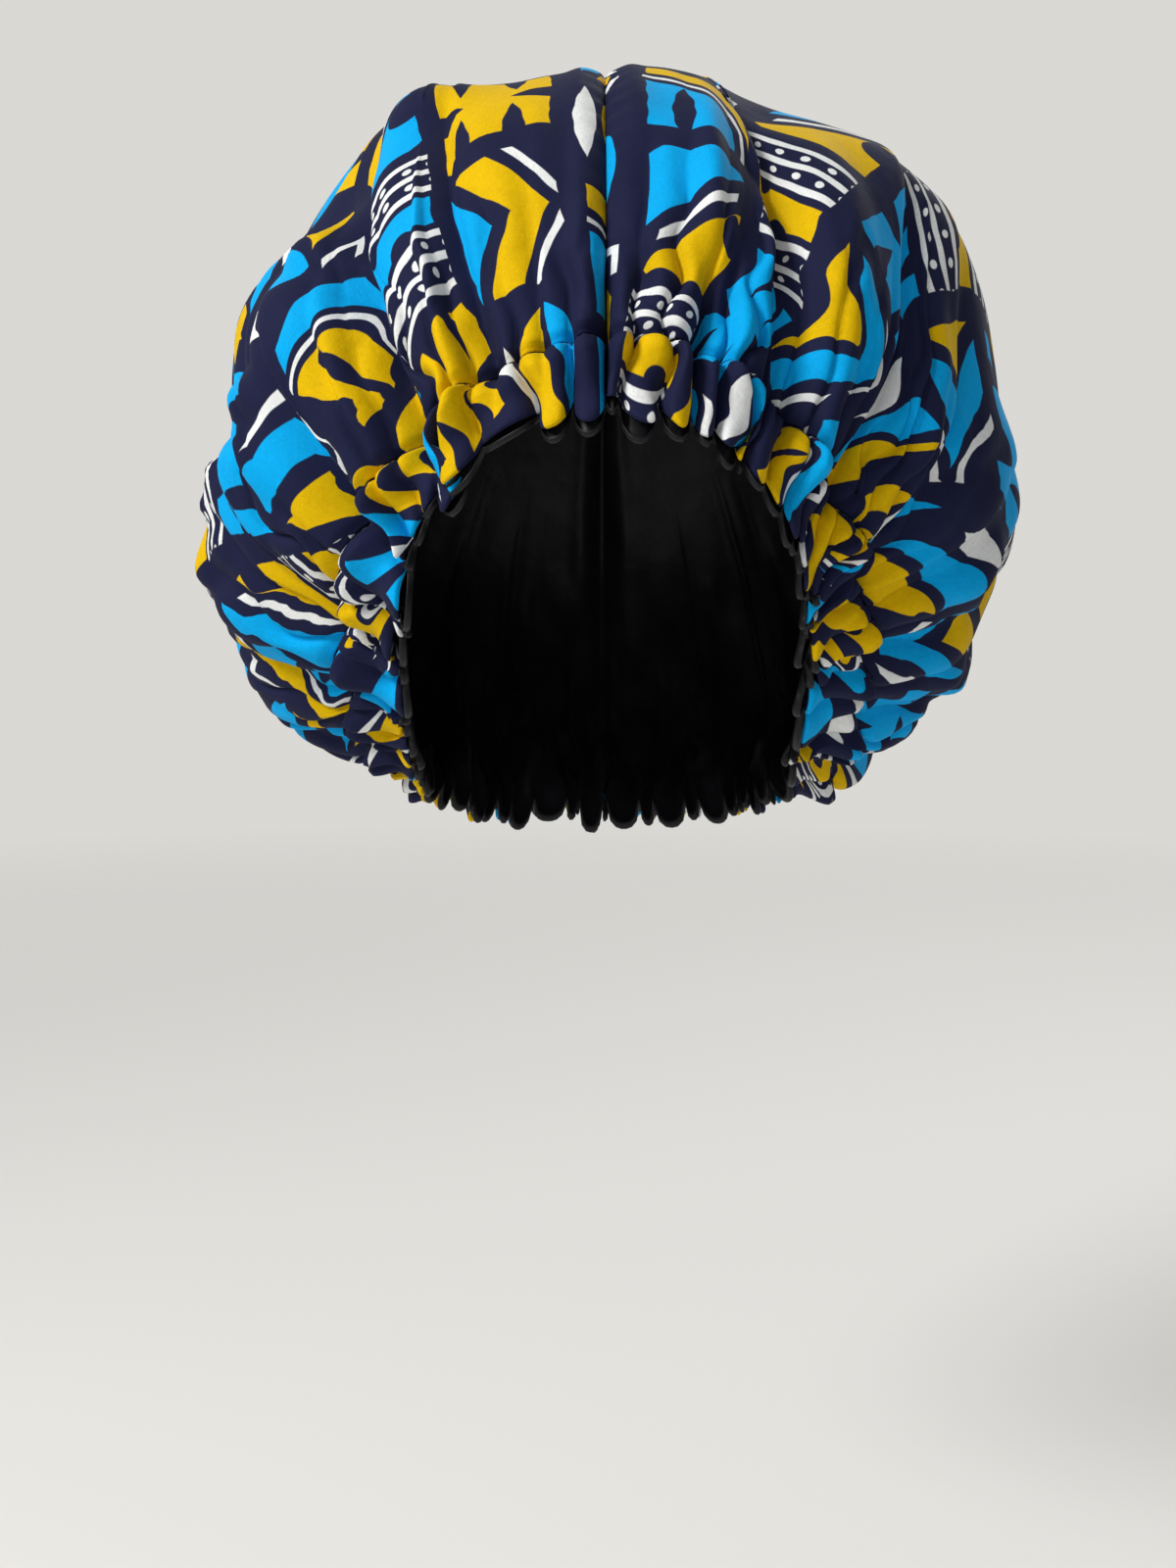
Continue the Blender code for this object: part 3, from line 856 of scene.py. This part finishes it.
def quarter_rings(s, p):
    """A quarter disc with a white line and a coloured band round it, and a white angle in the far corner."""
    corner = (-HALF_WIDTH, -HALF_HEIGHT)
    cell = s.cell(p)
    quarter = s.both(cell, s.disc(p, *corner, radius=37.0))
    line = s.both(cell, s.ring(p, *corner, radius=41.0, half_line=1.4))
    band = s.both(cell, s.ring(p, *corner, radius=51.5, half_line=6.6))
    outer = s.box(p, x=15.5, y=23.0, half_width=7.5, half_height=6.5)
    inner = s.box(p, x=12.0, y=19.5, half_width=7.5, half_height=6.5)
    notch = s.leaf(p, x=-9.0, y=-16.0, half_length=16.0, half_width=3.0)
    return s.either(line, s.less(outer, inner)), s.less(quarter, notch), band


def slanted_halves(s, p):
    """Two rounded triangles either side of a slanting navy band that carries a white bar."""
    slant = (0.85, 1.0)
    cell = s.both(s.cell(p), s.disc(p, x=0.0, y=0.0, radius=34.0))
    bite = s.disc(p, x=-20.0, y=-2.0, radius=7.0)
    lower = s.less(s.both(cell, s.half_plane(p, *slant, limit=-7.0)), bite)
    upper = s.less(cell, s.half_plane(p, *slant, limit=8.5))
    band = s.less(s.half_plane(p, *slant, limit=2.9), s.half_plane(p, *slant, limit=-1.9))
    return s.both(band, s.cell(p, half_width=17.0, half_height=22.0)), lower, upper


def mixed(tree, share, first, second, blend="MIX"):
    node = tree.nodes.new("ShaderNodeMix")
    node.data_type = "RGBA"
    node.blend_type = blend
    for socket, value in ((node.inputs[0], share), (node.inputs[6], first), (node.inputs[7], second)):
        if isinstance(value, bpy.types.NodeSocket):
            tree.links.new(value, socket)
        elif isinstance(value, tuple):
            socket.default_value = (*value, 1.0)
        else:
            socket.default_value = value
    return node.outputs[2]


def noise(tree, place, scale, detail=2.0, roughness=0.5, output="Fac"):
    node = tree.nodes.new("ShaderNodeTexNoise")
    node.inputs["Scale"].default_value = scale
    node.inputs["Detail"].default_value = detail
    node.inputs["Roughness"].default_value = roughness
    tree.links.new(place, node.inputs["Vector"])
    return node.outputs[output]


def ranged(tree, value, start, end, at_start, at_end):
    """A value that goes evenly from at_start to at_end, while the socket goes from start to end."""
    node = tree.nodes.new("ShaderNodeMapRange")
    tree.links.new(value, node.inputs[0])
    for socket, number in zip(node.inputs[1:], (start, end, at_start, at_end)):
        socket.default_value = number
    return node.outputs[0]


def varied(tree, value, low, high):
    """A noise, stretched from its usual span to go from low to high."""
    return ranged(tree, value, *NOISE_SPAN, low, high)


def bump(tree, height, strength, distance, under=None):
    """A bump by a height socket, on top of the one under it. The distance is in metres."""
    node = tree.nodes.new("ShaderNodeBump")
    node.inputs["Strength"].default_value = strength
    node.inputs["Distance"].default_value = distance
    tree.links.new(height, node.inputs["Height"])
    if under is not None:
        tree.links.new(under, node.inputs["Normal"])
    return node.outputs[0]


def print_cell(s, place):
    """The place inside a cell in mm, which motif the cell has, and whether it swaps its two colours."""
    across, up = s.parts(place)
    column = s.math("FLOOR", s.math("DIVIDE", across, COLUMN_PITCH))
    lifted = s.math("ADD", up, s.math("MULTIPLY", column, COLUMN_DROP))
    row = s.math("FLOOR", s.math("DIVIDE", lifted, CELL_PITCH))
    by_column = s.math("MULTIPLY", column, COLUMN_STEP)
    by_row = s.math("MULTIPLY", row, ROW_STEP)
    kind = s.math("ROUND", s.math("FLOORED_MODULO", s.math("ADD", by_column, by_row), MOTIF_COUNT))
    pair = s.math("FLOOR", s.math("DIVIDE", row, 2.0))
    swap = s.math("FLOORED_MODULO", s.math("ADD", column, pair), 2.0)
    mirror = s.math("SUBTRACT", 1.0, s.math("MULTIPLY", s.math("FLOORED_MODULO", row, 2.0), 2.0))
    x = s.math("SUBTRACT", s.math("FLOORED_MODULO", across, COLUMN_PITCH), COLUMN_PITCH / 2)
    y = s.math("SUBTRACT", s.math("FLOORED_MODULO", lifted, CELL_PITCH), CELL_PITCH / 2)
    return s.math("MULTIPLY", x, mirror), y, kind, swap


def print_inks(s, x, y, kind):
    """How fully white, the first colour and the second colour cover each place, 0 to 1."""
    p = s.joined(x, y)
    folded = s.vector("ABSOLUTE", p)
    half_folded = s.joined(x, s.math("ABSOLUTE", y))
    motifs = (
        bars_and_dots(s, p, x, y),
        bitten_block(s, folded, p),
        arrows(s, half_folded, p),
        split_leaf(s, p),
        quarter_rings(s, p),
        slanted_halves(s, p),
    )
    inks = ([], [], [])
    for number, shapes in enumerate(motifs):
        other = s.math("SUBTRACT", 1.0, s.math("COMPARE", kind, float(number), 0.1))
        away = s.math("MULTIPLY", other, OUT_OF_PRINT)
        for ink, gap, shape in zip(inks, INK_GAPS, shapes):
            if shape is not None:
                ink.append(s.math("ADD", shape, s.math("ADD", away, gap)))
    covers = [s.math("MULTIPLY_ADD", s.either(*ink), -1.0 / PRINT_EDGE, 0.5) for ink in inks]
    for cover in covers:
        cover.node.use_clamp = True
    return covers


def print_colour(tree, place):
    """The printed colours at a place on the flat cloth, as one socket."""
    s = Sums(tree)
    x, y, kind, swap = print_cell(s, place)
    white, first, second = print_inks(s, x, y, kind)
    colour = mixed(tree, first, NAVY, mixed(tree, swap, BLUE, YELLOW))
    colour = mixed(tree, second, colour, mixed(tree, swap, YELLOW, BLUE))
    return mixed(tree, white, colour, WHITE)


def new_material(name, inputs):
    """A material with some inputs of its shader set, its node tree, and the shader."""
    made = bpy.data.materials.new(name)
    made.use_nodes = True
    shader = made.node_tree.nodes["Principled BSDF"]
    for label, value in inputs.items():
        shader.inputs[label].default_value = value
    return made, made.node_tree, shader


def flat_place(s):
    """The place on the flat cloth in mm, a little shifted so that no printed line is quite straight."""
    cloth = s.tree.nodes.new("ShaderNodeUVMap")
    cloth.uv_map = "flat_cloth"
    place = s.vector("MULTIPLY", cloth.outputs[0], (1 / MM, 1 / MM, 0.0))
    wobble = noise(s.tree, place, scale=PRINT_WOBBLE_SCALE, detail=1.0, output="Color")
    wobble = s.vector("SUBTRACT", wobble, (0.5, 0.5, 0.5))
    return s.vector("ADD", place, s.vector("MULTIPLY", wobble, (PRINT_WOBBLE, PRINT_WOBBLE, 0.0)))


def printed_cotton():
    """Plain-woven cotton: threads both ways, a print that sits in the cloth, and a soft matt nap."""
    made, tree, shader = new_material("printed_cotton", COTTON)
    s = Sums(tree)
    place = flat_place(s)
    warp = noise(tree, s.vector("MULTIPLY", place, (THREADS_ACROSS, THREADS_ALONG, 1.0)), scale=1.0)
    weft = noise(tree, s.vector("MULTIPLY", place, (THREADS_ALONG, THREADS_ACROSS, 1.0)), scale=1.0)
    threads = s.math("MULTIPLY", s.math("ADD", warp, weft), 0.5)
    worn = noise(tree, place, scale=0.035, detail=3.0)
    shade = s.math("MULTIPLY", varied(tree, threads, 0.84, 1.14), varied(tree, worn, 0.94, 1.06))
    grey = tree.nodes.new("ShaderNodeCombineColor")
    for socket in grey.inputs:
        tree.links.new(shade, socket)
    colour = mixed(tree, 1.0, print_colour(tree, place), grey.outputs[0], "MULTIPLY")
    crumple = noise(tree, place, scale=0.12, detail=3.0, roughness=0.55)
    crumpled = bump(tree, crumple, strength=0.35, distance=1.2 * MM)
    normal = bump(tree, threads, strength=0.35, distance=0.22 * MM, under=crumpled)
    tree.links.new(colour, shader.inputs["Base Color"])
    tree.links.new(varied(tree, threads, 0.66, 0.84), shader.inputs["Roughness"])
    tree.links.new(normal, shader.inputs["Normal"])
    return made


def black_satin():
    """Black satin: dark and smooth, with a soft sheen along its folds."""
    made, tree, shader = new_material("black_satin", SATIN)
    here = tree.nodes.new("ShaderNodeTexCoord")
    place = Sums(tree).vector("MULTIPLY", here.outputs["Object"], (1 / MM, 1 / MM, 1 / MM))
    worn = noise(tree, place, scale=0.05, detail=3.0)
    threads = noise(tree, place, scale=2.2, detail=1.0)
    crumple = noise(tree, place, scale=0.09, detail=3.0)
    crumpled = bump(tree, crumple, strength=0.4, distance=1.6 * MM)
    normal = bump(tree, threads, strength=0.15, distance=0.1 * MM, under=crumpled)
    tree.links.new(mixed(tree, worn, SATIN_DARK, SATIN_LIGHT), shader.inputs["Base Color"])
    tree.links.new(varied(tree, worn, 0.42, 0.54), shader.inputs["Roughness"])
    tree.links.new(normal, shader.inputs["Normal"])
    return made


def read_off(places, lengths, values):
    """Vectors given along a line, read off at places along it."""
    return np.stack([np.interp(places, lengths, values[:, axis]) for axis in range(3)], -1)


def stitch_points(spine, up):
    """The rings of one stitch round its spine, thinner towards both ends."""
    aside = unit(np.cross(unit(spine[-1:] - spine[:1]), up))
    share = np.linspace(0.0, 1.0, STITCH_RINGS)
    radius = THREAD_RADIUS * (np.sqrt(np.maximum(0.0, 1 - (2 * share - 1) ** 2)) + THREAD_TIP)
    turn = (2 * math.pi * np.arange(STITCH_SIDES) / STITCH_SIDES)[:, None]
    off = np.cos(turn) * aside[:, None] + np.sin(turn) * up[:, None]
    return (spine[:, None] + radius[:, None, None] * off).reshape(-1, 3)


def stitch_faces(first):
    """The sides of one stitch, ring by ring, and its two ends. The number of its first point is given."""
    rings = [first + ring * STITCH_SIDES for ring in range(STITCH_RINGS)]
    corners = [(corner, (corner + 1) % STITCH_SIDES) for corner in range(STITCH_SIDES)]
    sides = [(a + i, a + j, b + j, b + i) for a, b in zip(rings, rings[1:]) for i, j in corners]
    start = tuple(rings[0] + corner for corner in reversed(range(STITCH_SIDES)))
    end = tuple(rings[-1] + corner for corner in range(STITCH_SIDES))
    return [*sides, start, end]


def make_stitches(gathers, material):
    """Short stitches laid end to end on the casing, just below the panels' edges."""
    points, faces = [], []
    for side in SIDES:
        line = casing_surface(gathers[side], np.array([STITCH_STEP]))[0]
        outwards = unit(line - PUFF_CENTRE)
        line = line + outwards * THREAD_RADIUS * THREAD_STANDS_OFF
        lengths = np.concatenate([[0.0], np.cumsum(np.linalg.norm(np.diff(line, axis=0), axis=1))])
        for start in np.arange(FIRST_STITCH, lengths[-1] - STITCH_PITCH, STITCH_PITCH):
            along = start + STITCH_LENGTH * np.linspace(0.0, 1.0, STITCH_RINGS)
            faces += stitch_faces(len(points))
            up = unit(read_off(along, lengths, outwards))
            points += stitch_points(read_off(along, lengths, line), up).tolist()
    mesh = bpy.data.meshes.new("casing_stitches")
    mesh.from_pydata(points, [], faces)
    return piece_from("casing_stitches", mesh, material)


def make_cotton(gathers, cotton):
    """The two panels, then the two halves of the casing. A side's panel and casing share one flat map."""
    spread = 1 - (1 - np.linspace(0.0, 1.0, PANEL_ROWS)) ** PANEL_ROW_POWER
    panel_ways = CROWN_HOLE + (STITCH_LINE + PANEL_OVERLAP - CROWN_HOLE) * spread
    curl = 1.0 + np.arange(1, CURL_ROWS + 1) / CURL_ROWS
    steps = np.concatenate([np.linspace(0.0, 1.0, CASING_ROWS) ** CASING_ROW_POWER, curl])
    ways = np.concatenate([panel_ways, CASING_START + (1 - CASING_START) * steps])
    panels, casings = [], []
    for side in SIDES:
        panel = panel_surface(gathers[side], panel_ways)
        casing = casing_surface(gathers[side], steps)
        flat = flat_places(np.concatenate([panel, casing]), gathers[side], ways) + PRINT_OFFSET[side]
        panel, panel_flat = turned_in(panel, flat[:PANEL_ROWS])
        panel[..., 0] += side * HALF_SEAM_GAP
        panels.append((panel, panel_flat))
        casings.append((casing, flat[PANEL_ROWS:]))
    names = ("left_panel_cloth", "right_panel_cloth", "casing_left", "casing_right")
    sheets = zip(names, [*panels, *casings])
    return {name: sheet_mesh(name, points, flat, COTTON_WALL, cotton) for name, (points, flat) in sheets}


def make_lining(satin):
    """The satin, as one closed ring from both sides."""
    ways = np.concatenate([np.linspace(CROWN_HOLE, 1.0, LINING_ROWS), np.full(LINING_EDGE_ROWS, 1.0)])
    edge = np.concatenate([np.zeros(LINING_ROWS), np.arange(1, LINING_EDGE_ROWS + 1) / LINING_EDGE_ROWS])
    sides = [lining_surface(Gathers(side, LINING_COLUMNS_PER_GATHER), ways, edge) for side in SIDES]
    return sheet_mesh("satin_lining_cloth", whole_ring(*sides), None, SATIN_WALL, satin, closed=True)


def make_bonnet():
    cotton, satin = printed_cotton(), black_satin()
    gathers = {side: Gathers(side, COLUMNS_PER_GATHER) for side in SIDES}
    pieces = make_cotton(gathers, cotton)
    pieces["satin_lining_cloth"] = make_lining(satin)
    thread, _, _ = new_material("navy_thread", THREAD)
    pieces["casing_stitches"] = make_stitches(gathers, thread)
    return pieces


def make_camera():
    data = bpy.data.cameras.new("camera")
    data.lens = CAMERA_LENS
    camera = placed("camera", data)
    camera.location = CAMERA_PLACE
    camera.rotation_euler = (math.pi / 2 - CAMERA_DROP, 0.0, 0.0)
    bpy.context.scene.camera = camera


def make_lamps():
    for lamp in LAMPS:
        data = bpy.data.lights.new(lamp.name, "AREA")
        data.shape = "DISK"
        data.size = lamp.size
        data.energy = lamp.power
        data.color = lamp.colour
        light = placed(lamp.name, data)
        light.location = lamp.place
        light.rotation_euler = (Vector(PUFF_CENTRE) - light.location).to_track_quat("-Z", "Y").to_euler()


def make_room():
    world = bpy.data.worlds.new("studio")
    world.use_nodes = True
    tree = world.node_tree
    sky = tree.nodes.new("ShaderNodeTexCoord")
    _, backwards = Sums(tree).parts(sky.outputs["Generated"])
    behind = ranged(tree, backwards, BACKDROP_FROM, BACKDROP_FULL, 0.0, 1.0)
    room = mixed(tree, behind, ROOM_COLOUR, BACKDROP_COLOUR)
    tree.links.new(room, tree.nodes["Background"].inputs["Color"])
    bpy.context.scene.world = world
    bpy.context.scene.view_settings.view_transform = "Standard"


def make_floor():
    """A pale floor that fades out with distance, so that no edge of it crosses the picture."""
    pale, tree, shader = new_material("pale_floor", FLOOR)
    here = tree.nodes.new("ShaderNodeTexCoord")
    far = Sums(tree).measure("LENGTH", here.outputs["Object"])
    shown = ranged(tree, far, FLOOR_CLEAR, FLOOR_GONE, 1.0, 0.0)
    tree.links.new(shown, shader.inputs["Alpha"])
    place = (0.0, 0.0, FLOOR_HEIGHT)
    bpy.ops.mesh.primitive_circle_add(
        vertices=FLOOR_SIDES, radius=FLOOR_RADIUS, fill_type="NGON", location=place
    )
    floor = bpy.context.object
    floor.name = "floor"
    floor.data.materials.append(pale)


def declare(pieces):
    """Hangs each piece on the root body, and hides the imported parts that CUTS names."""
    for name, piece in pieces.items():
        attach(piece, "root")
    for name, cut in CUTS.items():
        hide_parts(cut.node)


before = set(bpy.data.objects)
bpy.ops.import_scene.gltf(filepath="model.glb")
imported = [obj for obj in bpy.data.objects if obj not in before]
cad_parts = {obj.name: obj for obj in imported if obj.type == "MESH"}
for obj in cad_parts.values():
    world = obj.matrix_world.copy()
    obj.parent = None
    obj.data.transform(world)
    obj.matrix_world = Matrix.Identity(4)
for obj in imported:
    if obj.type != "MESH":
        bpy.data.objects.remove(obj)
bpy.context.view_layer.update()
make_camera()
make_lamps()
make_room()
make_floor()
declare(make_bonnet())
